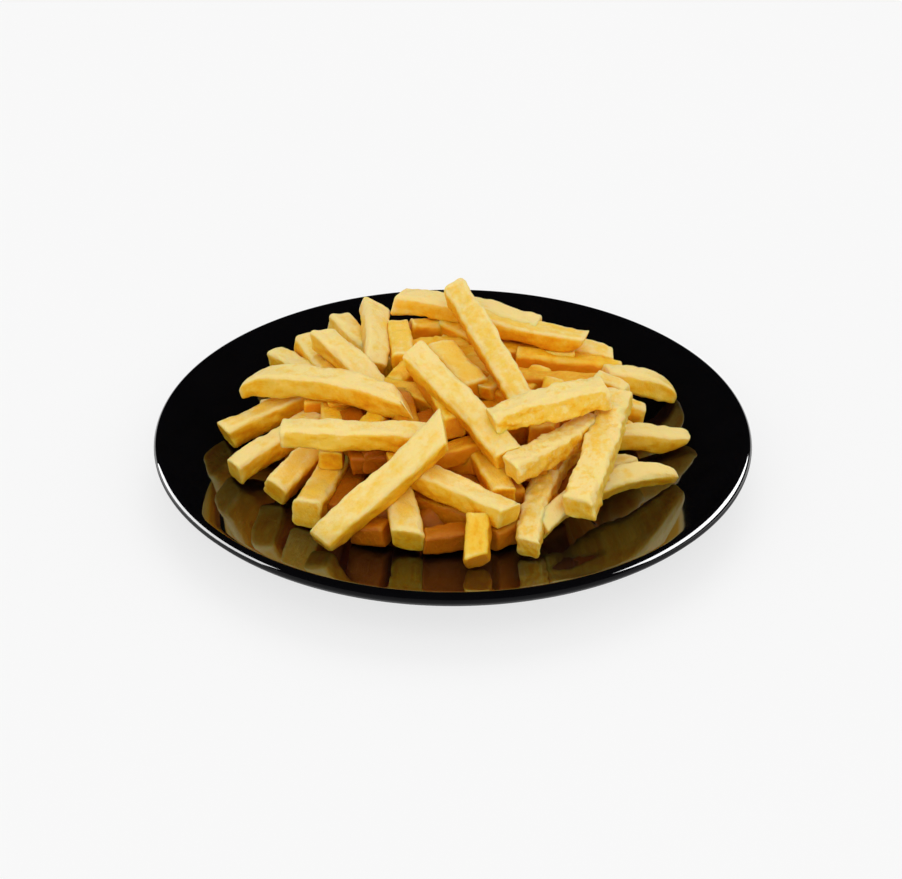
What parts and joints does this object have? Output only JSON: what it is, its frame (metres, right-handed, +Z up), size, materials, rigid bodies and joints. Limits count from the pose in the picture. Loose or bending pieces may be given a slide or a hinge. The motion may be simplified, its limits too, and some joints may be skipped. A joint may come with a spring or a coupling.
{
  "type": "french fries on a plate",
  "caption": "Heaped portion of thick-cut french fries on a round, shallow, glossy black plate with a low foot ring.",
  "frame": {"origin": "middle of the plate's foot ring, on the surface that it stands on", "axes": "+Z up, -Y towards the side of the heap that is seen first, +X to the right of that view"},
  "size_m": [0.24, 0.24, 0.0583],
  "materials": {
    "plate_glaze": "gloss",
    "fried_potato": "satin"
  },
  "bodies": {
    "root": {"plate": "plate_glaze", "fries_heap": "fried_potato"}
  },
  "joints": []
}
